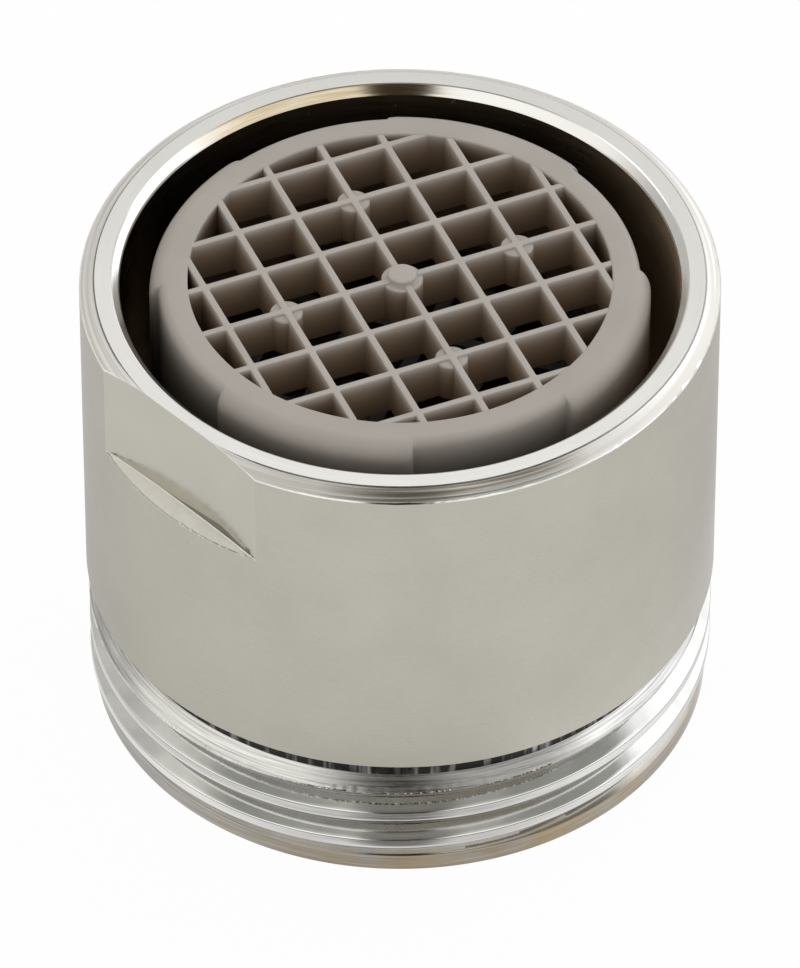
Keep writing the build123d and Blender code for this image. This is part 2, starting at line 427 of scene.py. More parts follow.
def thread_side(thread, crest_rounding):
    """One side of the thread's profile, from the crest's middle to the root's middle."""
    turn = pi / 2 - thread.flank_angle
    half_crest = thread.crest_width / 2
    half_pitch = thread.pitch / 2
    half_root = half_pitch - half_crest - thread.depth * tan(thread.flank_angle)
    crest = edge_arc(half_crest, crest_rounding, turn, CREST_STEPS)
    root = edge_arc(half_root, thread.root_round, turn, ROOT_STEPS)
    rise = [(half_pitch - offset, thread.depth - drop) for offset, drop in reversed(root)]
    flank = between(crest[-1], rise[0], FLANK_PARTS)
    return between((0.0, 0.0), crest[0], CREST_PARTS) + crest + flank + rise


def thread_profile(thread):
    """One turn of the thread, upwards from a root: pitch share, drop and mark of each row."""
    lower = [(-offset, drop) for offset, drop in reversed(thread_side(thread, thread.lower_round))]
    upper = thread_side(thread, thread.upper_round)
    rows = [(-thread.pitch / 2, thread.depth)] + lower + [(0.0, 0.0)] + upper
    middle = len(lower) + 1
    upper_edge = middle + CREST_PARTS
    marks = np.full(len(rows), BRIGHT)
    marks[:middle + 1 - CREST_PARTS] = WORN
    # Painted shade and painted dark reflection: bands at the crest's upper edge and at the root get
    # the darkened plate
    marks[upper_edge:upper_edge + 2] = marks[-1 - ROOT_STEPS:] = SHADED
    marks = marks.tolist()
    return [(offset / thread.pitch, drop, mark) for (offset, drop), mark in zip(rows, marks)]


def add_thread(shell, sizes, thread, generator):
    """Adds the helical rows of the thread and returns its lowest and highest row."""
    body_radius = sizes.body_diameter / 2
    crest_radius = body_radius - thread.crest_step
    undercut_radius = body_radius - sizes.undercut_depth
    pilot_radius = body_radius - sizes.pilot_step
    low = sizes.metal_end + sizes.pilot_height
    high = sizes.metal_end + sizes.threaded_height - sizes.undercut_width
    torn_from = high - TORN_PITCHES * thread.pitch
    worn_drop = WORN_SHARE * thread.depth
    climb = turned(shell.angles, 0) - thread.start_angle
    bottom = shell.row(pilot_radius, low)
    top = shell.row(undercut_radius, high)
    profile = thread_profile(thread)
    first_turn = int(np.floor((low - thread.start_level) / thread.pitch)) - SPARE_TURNS
    last_turn = int(np.ceil((high - thread.start_level) / thread.pitch)) + SPARE_TURNS
    tear = np.abs(smooth_noise(generator, len(climb), TEAR_WIDTH))
    tear = tear * np.clip(0.5 + smooth_noise(generator, len(climb), TEAR_PATCH), 0, 1)
    rows, marks, cones = [], [], []
    for turn in range(first_turn, last_turn + 1):
        for offset, drop, mark in profile:
            height = thread.start_level + (turn + offset + climb / (2 * pi)) * thread.pitch
            flare = (height - low) / tan(thread.flank_angle)
            cone = undercut_radius + (high - height) / tan(thread.runout_angle)
            cones.append(cone < crest_radius - drop)
            radius = np.minimum(crest_radius - drop, cone)
            radius = np.minimum(radius, pilot_radius + flare)
            if mark == WORN and drop < thread.depth / 2:
                near_runout = np.clip((height - torn_from) / (TORN_RISE * thread.pitch), 0, 1)
                radius = radius - tear * near_runout * thread.burr
            radius = np.maximum(radius, pilot_radius - flare)
            radius = np.where(height < high, radius, undercut_radius)
            radius = np.where(height > low, radius, pilot_radius)
            rows.append(shell.row(radius, np.clip(height, low, high)))
            # Painted shade: worn rows deeper than the worn share get the darkened plate
            if mark == WORN and (turn < FIRST_WORN_TURN or drop > worn_drop):
                mark = BRIGHT if drop < worn_drop else SHADED
            marks.append(np.where(height < low + BRIGHT_FOOT, BRIGHT, mark))
    per_turn = len(profile)
    last = len(rows) - 1
    for number in range(last):
        shell.band(
            rows[number],
            rows[number + 1],
            np.where(cones[number] & cones[number + 1], RUNOUT, marks[number]),
            lower_end=rows[min(number + per_turn, last)][0],
            upper_end=rows[min(number + 1 + per_turn, last)][0],
        )
    shell.band(bottom, rows[0], BRIGHT)
    shell.band(rows[-1], top, RUNOUT)
    return bottom, top


def make_housing(sizes, thread, finish):
    """Turned housing: thread, undercut, body with a milled flat, rim, bore and counterbore."""
    generator = np.random.default_rng(HOUSING_SEED)
    shell = Shell(housing_columns(sizes))
    angles = shell.angles
    size = len(angles)
    break_edge = sizes.edge_break
    body = sizes.body_diameter / 2
    rim = sizes.rim_level
    shoulder = sizes.metal_end + sizes.threaded_height
    undercut = body - sizes.undercut_depth
    pilot = body - sizes.pilot_step
    bore = body - sizes.rim_wall
    counterbore = undercut - sizes.neck_wall
    collar = counterbore - sizes.seat_width
    collar_top = sizes.collar_level + sizes.collar_height
    ledge = rim - sizes.wrench_flat_height

    # Wrench flat, as a radius in each column's direction
    half_flat = flat_half_angle(sizes)
    from_middle = turned(angles, FLAT_MIDDLE)
    on_flat = np.abs(from_middle) < half_flat * ON_FLAT_EDGE
    flat = (body - sizes.wrench_flat_depth) / np.cos(np.where(on_flat, from_middle, 0))
    wall = np.where(on_flat, np.minimum(body, flat), body)
    flat_face = on_flat & np.roll(on_flat, -1)
    wall_mark = np.where(flat_face, FLAT, PLAIN)
    ledge_mark = np.where(flat_face, LEDGE, PLAIN)
    burr_mark = np.where(flat_face, FACED, PLAIN)

    # Strip of painted dark reflection above the ledge, and the ledge with its burr
    along_flat = 0.5 + 0.5 * np.clip(np.tan(from_middle) / tan(half_flat), -1, 1)
    dark_reflection_grows = (along_flat - DARK_REFLECTION_START) / (DARK_REFLECTION_FULL - DARK_REFLECTION_START)
    dark_reflection_fades = (1 - along_flat) / (1 - DARK_REFLECTION_FULL)
    dark_reflection = sizes.dark_reflection_height * np.clip(np.minimum(dark_reflection_grows, dark_reflection_fades), 0, 1)
    dark_reflection_mark = np.where(flat_face & (dark_reflection > 0), DARK_REFLECTION, wall_mark)
    rise = sizes.ledge_rise * (body - wall)
    burr = np.abs(smooth_noise(generator, size, BURR_WIDTH)) ** BURR_SHARPNESS
    burr = burr * sizes.burr_height * on_flat
    torn_mark = np.where(flat_face & (burr > TORN_BURR * sizes.burr_height), WORN, PLAIN)

    # Outer rim chamfer, lower where the flat cuts into it, slightly hollow, and ragged at its foot
    head = body - sizes.rim_chamfer_width
    chamfer_head = np.minimum(head, wall)
    foot_share = np.clip((wall - head) / sizes.rim_chamfer_width, 0, 1)
    chamfer_foot = rim - sizes.rim_chamfer_height * foot_share
    chamfer_run = hypot(sizes.rim_chamfer_width, sizes.rim_chamfer_height)
    hollow_in = sizes.rim_hollow * sizes.rim_chamfer_height / chamfer_run * foot_share
    hollow_down = sizes.rim_hollow * sizes.rim_chamfer_width / chamfer_run * foot_share
    ragged = np.abs(smooth_noise(generator, size, RAGGED_WIDTH))
    ragged = ragged * np.clip(smooth_noise(generator, size, RAGGED_PATCH) + RAGGED_BASE, 0, 1)
    ragged_foot = chamfer_foot - break_edge - sizes.rim_ragged * ragged * foot_share
    chamfer_rows = [(wall, ragged_foot, BRIGHT)]
    first_rise = FIRST_RISE + FIRST_WANDER * np.roll(ragged, WANDER_SHIFT)
    for share_up in (first_rise, *RIM_RISES):
        swing = 4 * share_up * (1 - share_up)
        radius = wall + (chamfer_head - wall) * share_up - swing * hollow_in
        height = chamfer_foot + (rim - chamfer_foot) * share_up - swing * hollow_down
        chamfer_rows.append((radius, height, RIM))
    # Painted shade: the chamfer's top band gets the darkened plate
    chamfer_rows[-1] = (radius, height, SHADED)
    chamfer_rows.append((chamfer_head, rim, FACED))

    # Inner rim chamfer
    mouth = bore + sizes.mouth_chamfer_width
    mouth_run = hypot(sizes.mouth_chamfer_width, sizes.mouth_chamfer_depth)
    mouth_in = sizes.mouth_chamfer_width / mouth_run * break_edge
    mouth_down = sizes.mouth_chamfer_depth / mouth_run * break_edge
    mouth_foot = rim - sizes.mouth_chamfer_depth

    tools = smooth_noise(generator, size, CHATTER_WIDTH) * sizes.chatter
    bottom, top = add_thread(shell, sizes, thread, generator)
    outline = [
        (undercut + tools, shoulder - GROOVE_FLOOR * sizes.undercut_width, GROOVE),
        (undercut + tools + sizes.undercut_taper, shoulder, BRIGHT),
        (body - break_edge, shoulder, BRIGHT),
        (body, shoulder + break_edge, PLAIN),
        (body, ledge - 3 * break_edge, PLAIN),
        (body, ledge - break_edge, torn_mark),
        (np.maximum(wall, body - 0.5 * break_edge * on_flat), ledge + burr, burr_mark),
        (np.maximum(wall, body - 2 * break_edge * on_flat), ledge, ledge_mark),
        (np.minimum(wall + break_edge, body), ledge + rise, burr_mark),
        (wall, ledge + break_edge + rise, dark_reflection_mark),
        (wall, ledge + break_edge + np.maximum(dark_reflection, rise), wall_mark),
        *chamfer_rows,
        (mouth + break_edge, rim, MOUTH),
        (mouth - mouth_in, rim - mouth_down, MOUTH),
        (bore + 2 * mouth_in, mouth_foot + 2 * mouth_down, MOUTH),
        (bore, mouth_foot - break_edge, BORE),
        (bore, collar_top, BORE),
        (collar, collar_top, BORE),
        (collar, sizes.collar_level, BORE),
        (counterbore, sizes.collar_level, BORE),
        (counterbore, sizes.metal_end + sizes.inlet_chamfer, BRIGHT),
        (counterbore + sizes.inlet_chamfer, sizes.metal_end, FACED),
        (pilot - sizes.end_chamfer, sizes.metal_end, BRIGHT),
        (pilot, sizes.metal_end + sizes.end_chamfer, BRIGHT),
    ]
    previous, mark = top, GROOVE
    for radius, height, next_mark in outline:
        current = shell.row(radius, height)
        shell.band(previous, current, mark)
        previous, mark = current, next_mark
    shell.band(previous, bottom, mark)

    # Finishes in the order of the marks
    finishes = (
        satin_plate, bright_plate, faced_plate, bore_plate, milled_flat, milled_ledge, shaded_groove,
        worn_edge, dark_reflection_flat, mouth_plate, rim_plate, runout_plate, shaded_root,
    )
    return shell.mesh("plated_housing", [make(finish) for make in finishes], SHARP_METAL)


# Outlet moulding

CUP, GRID = range(2)
SHARP_MOULDING = radians(32)
EDGE_CLEAR, ON_EDGE = 0.55, 1e-6
RING_STEPS, RING_INNER_STEPS, POST_ROUND_STEPS = 10, 3, 4
ROUND_STEPS, POST_STEPS = 240, 56
CELL_SINK, PLATE_SINK = 0.06 * MM, 0.12 * MM
CELL_CORNER = 0.05 * MM
LEAST_CELL = 0.004 * MM * MM
BUTTON_FILLET = 0.02 * MM
ROUND_MIDDLE = 0.3


def lug_edge(sizes):
    """A lug's side edge: angle in from the lug's end and share of the lug's height."""
    step = sizes.lug_round / sizes.ring_radius
    offsets = (-0.45, -0.10, 0.0, 0.03, 0.12, 0.35, 0.65, 1.0)
    heights = (0.0, 0.05, 0.22, 0.5, 0.72, 0.9, 0.98, 1.0)
    return [(offset * step, height) for offset, height in zip(offsets, heights)]


def cup_columns(sizes):
    """Angles round the cup and the lug's share at each, with columns on lug and window edges."""
    half_lug = sizes.lug_span / 2
    half_window = asin(sizes.window_width / 2 / sizes.ring_radius)
    lug_step = 2 * pi / sizes.lug_count
    edge = lug_edge(sizes)
    clear = max(abs(offset) for offset, _ in edge) * EDGE_CLEAR
    plain = np.linspace(-pi, pi, sizes.columns, endpoint=False)
    special, heights = [], []
    for lug in range(sizes.lug_count):
        middle = sizes.turn + (lug + 0.5) * lug_step
        for side in (-1, 1):
            for offset, height in edge:
                special.append(middle + side * (half_lug - offset))
                heights.append(height)
        for side in (-1, 1):
            special.append(sizes.turn + lug * lug_step + side * half_window)
            heights.append(0.0)
    special = turned(np.array(special), 0)
    for mark in special:
        plain = plain[np.abs(turned(plain, mark)) > clear]
    from_lug = np.abs(turned((plain - sizes.turn) * sizes.lug_count, pi)) / sizes.lug_count
    columns = np.concatenate([plain, special])
    lugs = np.concatenate([np.where(from_lug < half_lug, 1.0, 0.0), heights])
    order = np.argsort(columns)
    return columns[order], lugs[order]


def quarter_round(steps):
    """Points of a quarter circle from (0, 1) to (1, 0)."""
    return [(sin(pi / 2 * step / steps), cos(pi / 2 * step / steps)) for step in range(steps + 1)]


def add_cup(shell, sizes, lugs):
    """Adds the cup's flange, wall with lugs and windows, rounded ring and screen step."""
    wall = sizes.ring_radius
    flange = sizes.flange_diameter / 2
    chamber = wall - sizes.wall
    outlet = wall - sizes.ring_width
    flange_top = sizes.flange_level + sizes.flange_height
    window_top = sizes.window_level + sizes.window_height
    lug_wall = wall + sizes.lug_height * lugs
    half_window = asin(sizes.window_width / 2 / wall)
    from_window = np.abs(turned((shell.angles - sizes.turn) * sizes.lug_count, 0)) / sizes.lug_count
    solid = from_window >= half_window - ON_EDGE
    solid = solid | np.roll(from_window > half_window + ON_EDGE, -1)

    outline = [
        (chamber, sizes.flange_level),
        (flange, sizes.flange_level),
        (flange, flange_top),
        (lug_wall, flange_top),
        (lug_wall, sizes.window_level),
        (lug_wall, window_top),
    ]
    run = sizes.ring_round + lug_wall - wall
    fall = sizes.ring_fall + sizes.lug_fall * lugs
    for across, up in reversed(quarter_round(RING_STEPS)):
        outline.append((lug_wall - run * (1 - across), sizes.ring_top - fall * (1 - up)))
    inner = sizes.ring_inner_round
    for across, up in quarter_round(RING_INNER_STEPS):
        outline.append((outlet + inner * (1 - across), sizes.ring_top - inner * (1 - up)))
    inside_from = len(outline) - 1
    outline += [
        (outlet, sizes.screen_seat),
        (chamber, sizes.screen_seat),
        (chamber, window_top),
        (chamber, sizes.window_level),
    ]

    rows = [shell.row(radius, height) for radius, height in outline]
    outer_foot, inner_foot = 4, len(rows) - 1
    outer_top, inner_top = outer_foot + 1, inner_foot - 1
    for number, lower in enumerate(rows):
        upper = rows[(number + 1) % len(rows)]
        mark = GRID if number >= inside_from else CUP
        shell.band(lower, upper, mark, solid if number in (outer_foot, inner_top) else slice(None))

    # Foot, top and sides of the windows
    open_columns = np.flatnonzero(~solid)
    following = (open_columns + 1) % len(solid)
    for outer, inner in ((outer_foot, inner_foot), (outer_top, inner_top)):
        near, far = rows[outer], rows[inner]
        shell.quads(near[open_columns], near[following], far[following], far[open_columns], CUP)
    corners = (outer_foot, outer_top, inner_top, inner_foot)
    for side in (open_columns[solid[open_columns - 1]], following[solid[following]]):
        shell.quads(*(rows[number][side] for number in corners), CUP)


def clipped_cell(corner, half, corner_round, radius):
    """A lattice square with rounded corners, kept where it lies inside a circle round the axis."""
    points = []
    for quarter in range(4):
        turn = pi / 2 * quarter
        middle = corner + (half - corner_round) * sqrt(2) * aim(turn + pi / 4)
        points += [middle + corner_round * aim(turn + pi / 6 * step) for step in range(4)]
    for side in range(ROUND_STEPS):
        normal = aim(2 * pi * side / ROUND_STEPS)
        kept = []
        for number, point in enumerate(points):
            following = points[(number + 1) % len(points)]
            inside, next_inside = radius - normal @ point, radius - normal @ following
            if inside >= 0:
                kept.append(point)
            if inside * next_inside < 0:
                kept.append(point + (following - point) * inside / (inside - next_inside))
        points = kept
        if len(points) < 3:
            return None
    return np.array(points)


def loop_area(points):
    """Area of a closed loop in the plane."""
    ahead = np.roll(points, -1, axis=0)
    return 0.5 * abs(np.sum(points[:, 0] * ahead[:, 1] - ahead[:, 0] * points[:, 1]))


def grid_middle(sizes):
    """Place of the grid's middle, a little off the ring's."""
    return sizes.grid_shift * aim(sizes.grid_shift_way)


def add_grid(shell, sizes):
    """Adds the square grid as one plate, sunk into the ring: tapered cells with rounded edges."""
    outlet = sizes.ring_radius - sizes.ring_width
    top = sizes.ring_top - sizes.rib_drop
    foot = top - sizes.rib_depth
    half_top = (sizes.rib_pitch - sizes.rib_top_width) / 2
    half_foot = (sizes.rib_pitch - sizes.rib_foot_width) / 2
    round_edge = sizes.rib_round
    turn = np.array([aim(sizes.turn), aim(sizes.turn + pi / 2)])
    levels = [
        (half_top + round_edge, top),
        (half_top + ROUND_MIDDLE * round_edge, top - ROUND_MIDDLE * round_edge),
        (half_top, top - round_edge),
        (half_foot, foot),
    ]
    reach = int(np.ceil(outlet / sizes.rib_pitch))
    shift = turn @ grid_middle(sizes)
    top_loops, foot_loops = [], []
    for column in range(-reach, reach):
        for line in range(-reach, reach):
            middle = np.array([column + 0.5, line + 0.5]) * sizes.rib_pitch + shift
            cell = clipped_cell(middle, half_top, CELL_CORNER, outlet + CELL_SINK)
            if cell is None or loop_area(cell) < LEAST_CELL:
                continue
            rows = []
            for half, height in levels:
                loop = middle + (cell - middle) * half / half_top
                rows.append(shell.level(loop @ turn, height))
            for upper, lower in zip(rows, rows[1:]):
                shell.band(upper, lower, GRID)
            top_loops.append(rows[0])
            foot_loops.append(rows[-1])
    edge = (outlet + PLATE_SINK) * circle(ROUND_STEPS)
    upper_edge, lower_edge = shell.level(edge, top), shell.level(edge, foot)
    shell.band(upper_edge, lower_edge, GRID)
    fill_plate(shell, [upper_edge] + top_loops)
    fill_plate(shell, [lower_edge] + foot_loops)


def fill_plate(shell, loops):
    """Fills the flat face between an outer loop and the loops of the cells in it."""
    points = np.concatenate(shell.points)
    work = bmesh.new()
    number_of = {}
    edges = []
    for loop in loops:
        corners = [work.verts.new(points[number]) for number in loop]
        number_of.update(zip(corners, loop))
        edges += [work.edges.new(pair) for pair in zip(corners, corners[1:] + corners[:1])]
    filled = bmesh.ops.triangle_fill(work, use_beauty=True, edges=edges, normal=(0, 0, 1))
    for made in filled["geom"]:
        if isinstance(made, bmesh.types.BMFace):
            shell.face([number_of[corner] for corner in made.verts], GRID)
    work.free()


def add_post(shell, place, outline):
    """Adds a turned post: an outline of radius and height about a place, closed at both ends."""
    ring = circle(POST_STEPS)
    rows = [shell.level(place + radius * ring, height) for radius, height in outline]
    for lower, upper in zip(rows, rows[1:]):
        shell.band(lower, upper, GRID)
    shell.face(rows[0][::-1], GRID)
    shell.face(rows[-1], GRID)


def rounded_post(diameter, foot, top, edge):
    """Outline of a post with a rounded top edge."""
    radius = diameter / 2
    bends = reversed(quarter_round(POST_ROUND_STEPS))
    arc = [(radius - edge * (1 - across), top - edge * (1 - up)) for across, up in bends]
    return [(radius, foot)] + arc


def make_outlet_moulding(sizes, finish):
    """Grey moulding: cup with lugs and ring, square grid, moulding posts, hub and button."""
    columns, lugs = cup_columns(sizes)
    shell = Shell(columns)
    add_cup(shell, sizes, lugs)
    add_grid(shell, sizes)
    top = sizes.ring_top - sizes.rib_drop
    foot = top - sizes.rib_depth
    post = rounded_post(sizes.post_diameter, foot, top - sizes.post_drop, sizes.post_round)
    post_reach = sizes.post_pitches * sizes.rib_pitch
    for quarter in range(4):
        place = grid_middle(sizes) + post_reach * aim(sizes.turn + pi / 2 * quarter)
        add_post(shell, place, post)
    hub_top = top - sizes.hub_drop
    button_top = hub_top + sizes.button_height
    hub = rounded_post(sizes.hub_diameter, foot, hub_top, sizes.post_round)
    button = rounded_post(sizes.button_diameter, hub_top, button_top, sizes.post_round)
    button[0] = (sizes.button_diameter / 2 + BUTTON_FILLET, hub_top)
    button.insert(1, (sizes.button_diameter / 2, hub_top + BUTTON_FILLET))
    add_post(shell, grid_middle(sizes), hub + button)
    materials = [grey_moulding(finish, sizes), grid_moulding(finish, sizes)]
    return shell.mesh("outlet_moulding", materials, SHARP_MOULDING)


# Shader tools

# Sockets of a Mix node that hold colours
MIX_FIRST, MIX_SECOND, MIX_RESULT = 6, 7, 2

LEVEL = (1.0, 1.0, 0.0)
NOISE_RANGE = (0.3, 0.7)
LATHE_LEAN = 0.62
BLACK, WHITE = (0.0, 0.0, 0.0), (1.0, 1.0, 1.0)


class Nodes:
    """Short ways to add nodes to one node tree."""

    def __init__(self, tree):
        self.tree = tree

    def add(self, kind, inputs=None, **settings):
        """Adds a node, sets its options, sets or links its inputs, and returns its outputs."""
        node = self.tree.nodes.new(kind)
        for option, value in settings.items():
            setattr(node, option, value)
        for name, value in (inputs or {}).items():
            if isinstance(value, NodeSocket):
                self.tree.links.new(value, node.inputs[name])
            else:
                node.inputs[name].default_value = value
        return node.outputs

    def math(self, operation, first, second=0.0, third=0.0):
        """A Math node's result."""
        return self.add("ShaderNodeMath", {0: first, 1: second, 2: third}, operation=operation)[0]

    def times(self, first, second):
        """The product of two values."""
        return self.math("MULTIPLY", first, second)

    def times_plus(self, first, second, third):
        """The product of two values, and a third one on top."""
        return self.math("MULTIPLY_ADD", first, second, third)

    def vector(self, operation, first, second=(0.0, 0.0, 0.0)):
        """A Vector Math node's result, which is a plain value for lengths and dot products."""
        outputs = self.add("ShaderNodeVectorMath", {0: first, 1: second}, operation=operation)
        return outputs["Value" if operation in ("LENGTH", "DOT_PRODUCT") else "Vector"]

    def remap(self, value, low, high, to_low=0.0, to_high=1.0, kind="LINEAR"):
        """A value moved from one range to another, and held inside it."""
        inputs = {"Value": value, "From Min": low, "From Max": high}
        inputs.update({"To Min": to_low, "To Max": to_high})
        return self.add("ShaderNodeMapRange", inputs, interpolation_type=kind)["Result"]

    def smooth(self, value, low, high, to_low=0.0, to_high=1.0):
        """The same with soft ends."""
        return self.remap(value, low, high, to_low, to_high, "SMOOTHSTEP")

    def waver(self, mask, low=0.0, high=1.0):
        """The usual range of a noise, moved to another range."""
        return self.remap(mask, *NOISE_RANGE, low, high)

    def blend(self, mask, first, second):
        """One colour where the mask is 0 and the other where it is 1."""
        inputs = {0: mask}
        for socket, tint in ((MIX_FIRST, first), (MIX_SECOND, second)):
            inputs[socket] = tint if isinstance(tint, NodeSocket) else (*tint, 1.0)
        outputs = self.add("ShaderNodeMix", inputs, data_type="RGBA", clamp_factor=True)
        return outputs[MIX_RESULT]

    def tones(self, mask, tint, low, high):
        """A colour that wavers between a darker and a lighter tone of itself."""
        return self.blend(self.waver(mask), scaled(tint, low), scaled(tint, high))

    def place(self):
        """The point on the surface, in the part's own frame."""
        return self.add("ShaderNodeTexCoord")["Object"]

    def height(self, place=None):
        """Height of a point."""
        return self.add("ShaderNodeSeparateXYZ", {0: self.place() if place is None else place})["Z"]

    def way(self, place):
        """Direction of a point, seen from the axis."""
        return self.vector("NORMALIZE", self.vector("MULTIPLY", place, LEVEL))

    def nearness(self, direction):
        """How close a point lies to a direction round the axis: 1 there, and minus 1 opposite."""
        aim = (cos(direction), sin(direction), 0.0)
        return self.vector("DOT_PRODUCT", self.way(self.place()), aim)

    def noise(self, scale, detail=3.0, roughness=0.55, vector=None):
        """Noise from 0 to 1."""
        vector = self.place() if vector is None else vector
        inputs = {"Vector": vector, "Scale": scale, "Detail": detail, "Roughness": roughness}
        return self.add("ShaderNodeTexNoise", inputs)["Fac"]

    def stretched(self, scales, detail):
        """Noise with a scale of its own along each axis."""
        vector = self.add("ShaderNodeMapping", {"Vector": self.place(), "Scale": scales})[0]
        return self.noise(1.0, detail, vector=vector)

    def lathe(self, along, across, detail, roughness=0.55, lean=LATHE_LEAN):
        """Noise that changes slowly round the axis and fast across a lathe's tool marks."""
        place = self.place()
        radius = self.vector("LENGTH", self.vector("MULTIPLY", place, LEVEL))
        step = self.times(self.times_plus(radius, lean, self.height(place)), across)
        lift = self.add("ShaderNodeCombineXYZ", {"Z": step})[0]
        way = self.vector("MULTIPLY", self.way(place), (along, along, along))
        return self.noise(1.0, detail, roughness, self.vector("ADD", way, lift))


class Finish(Nodes):
    """A material in the making, on one Principled shader."""

    def __init__(self, name, constants):
        self.material = bpy.data.materials.new(name)
        self.material.use_nodes = True
        super().__init__(self.material.node_tree)
        self.shader = self.tree.nodes["Principled BSDF"].inputs
        for socket, value in constants.items():
            self.shader[socket].default_value = value

    def cover(self, tint, roughness, relief=None, depth=0.0):
        """Sets the colour, the roughness and a fine relief, and returns the material."""
        self.tree.links.new(tint, self.shader["Base Color"])
        self.tree.links.new(roughness, self.shader["Roughness"])
        if relief is not None:
            inputs = {"Height": relief, "Distance": depth, "Strength": 1.0}
            self.tree.links.new(self.add("ShaderNodeBump", inputs)["Normal"], self.shader["Normal"])
        return self.material


def scaled(tint, factor):
    """A colour made lighter or darker."""
    return tuple(value * factor for value in tint)


# Finishes

PLATE = {"Metallic": 1.0}
EDGED_PLATE = {"Metallic": 1.0, "Specular Tint": (0.78, 0.78, 0.78, 1.0)}
DULL_PLATE = {"Specular IOR Level": 1.0}
MOULDING_SHEEN = {"Specular IOR Level": 0.4}


def satin_plate(finish):
    """Plain body: satin nickel with fine turning lines and a faint cloudiness."""
    make = Finish("satin_plate", EDGED_PLATE)
    lines = make.lathe(along=5.0, across=22000.0, detail=2.0)
    grain = make.lathe(along=60.0, across=24000.0, detail=2.0)
    clouds = make.times(make.noise(scale=420.0, detail=4.0), 0.6)
    tint = make.tones(make.times_plus(grain, 0.4, clouds), finish.satin_plate, 0.94, 1.05)
    return make.cover(tint, make.waver(lines, 0.27, 0.33), lines, depth=0.1e-6)


def milled_flat(finish):
    """Wrench flat: the same plate, smoother, with faint milling marks."""
    make = Finish("milled_flat", PLATE)
    marks = make.stretched((9000.0, 900.0, 700.0), detail=2.0)
    tint = make.tones(make.noise(scale=500.0), finish.satin_plate, 0.98, 1.03)
    return make.cover(tint, make.waver(marks, 0.20, 0.24), marks, depth=0.03e-6)


def dark_reflection_flat(finish):
    """Strip at the wrench flat's foot: a painted dark reflection, the satin plate darkened."""
    make = Finish("dark_reflection_flat", PLATE)
    marks = make.noise(scale=2500.0)
    tint = make.tones(marks, finish.satin_plate, 0.42, 0.50)
    return make.cover(tint, make.waver(marks, 0.22, 0.28))


def milled_ledge(finish):
    """Ledge below the wrench flat: dull, and painted near white as a painted highlight."""
    make = Finish("milled_ledge", DULL_PLATE)
    grain = make.noise(scale=3200.0)
    tint = make.tones(grain, finish.ledge_plate, 0.93, 1.05)
    return make.cover(tint, make.waver(grain, 0.30, 0.42), grain, depth=0.4e-6)


def bright_plate(finish):
    """Thread and pilot: mirror plate over turning lines; the pilot darkened as painted shade, and
    browner where tarnished.
    """
    make = Finish("bright_plate", EDGED_PLATE)
    lines = make.lathe(along=3.0, across=12000.0, detail=3.0, roughness=0.7)
    bands = make.lathe(along=1.5, across=7000.0, detail=2.0)
    stains = make.remap(make.noise(scale=600.0, detail=4.0), 0.35, 0.62, 0.4, 1.0)
    near = make.remap(make.nearness(finish.tarnish_side), 0.2, 0.95, 0.15, 0.95)
    plate = make.tones(lines, finish.bright_plate, 0.8, 1.1)
    # Painted shade: a darker copy of the plate for the pilot near the floor
    worn = make.tones(lines, finish.bright_plate, 0.34, 0.58)
    brown = make.times(near, stains)
    pilot = make.blend(brown, worn, make.tones(lines, finish.tarnish, 0.8, 1.2))
    low_down = make.smooth(make.height(), finish.pilot_full, finish.pilot_end, 1.0, 0.0)
    tint = make.blend(low_down, plate, pilot)
    return make.cover(tint, make.waver(bands, 0.07, 0.15), lines, depth=3.0e-6)


def rim_plate(finish):
    """Outer rim chamfer: coarse rings from the lathe, some of them left brown."""
    make = Finish("rim_plate", EDGED_PLATE)
    rings = make.lathe(along=2.0, across=14000.0, detail=3.0, roughness=0.6, lean=-LATHE_LEAN)
    stains = make.lathe(along=1.2, across=9000.0, detail=1.0, lean=-LATHE_LEAN)
    near = make.remap(make.nearness(finish.wear_and_shade_side), 0.90, 0.985, 0.3, 1.0)
    brown = make.times(make.remap(stains, 0.38, 0.58), near)
    tint = make.blend(brown, scaled(finish.bright_plate, 1.12), finish.rim_brown)
    dull = make.times_plus(near, -0.36, 0.42)
    return make.cover(tint, make.times_plus(rings, 0.25, dull), rings, depth=7.0e-6)


def runout_plate(finish):
    """Cone above the thread: streaky plate, duller than the thread, with a painted dark reflection
    towards the wear and shade side.
    """
    make = Finish("runout_plate", EDGED_PLATE)
    streaks = make.lathe(along=2.5, across=13000.0, detail=3.0, roughness=0.7, lean=-LATHE_LEAN)
    # Painted dark reflection: the cone turns darker towards the wear and shade side
    dark = make.smooth(make.nearness(finish.wear_and_shade_side), 0.866, 0.97, 0.0, 0.5)
    tint = make.blend(dark, make.tones(streaks, finish.bright_plate, 0.38, 1.15), BLACK)
    return make.cover(tint, make.waver(streaks, 0.22, 0.34), streaks, depth=5.0e-6)


def mouth_plate(finish):
    """Inner rim chamfer: bright plate worn thin on one side, where the brass tints it."""
    make = Finish("mouth_plate", PLATE)
    lines = make.lathe(along=5.0, across=16000.0, detail=3.0)
    thin = make.smooth(make.nearness(finish.thin_side), 0.84, 0.97, 0.0, 0.9)
    thin = make.times(thin, make.remap(lines, 0.3, 0.6, 0.6, 1.0))
    tint = make.blend(thin, finish.bright_plate, finish.worn_brass)
    return make.cover(tint, make.waver(lines, 0.08, 0.16), lines, depth=1.5e-6)


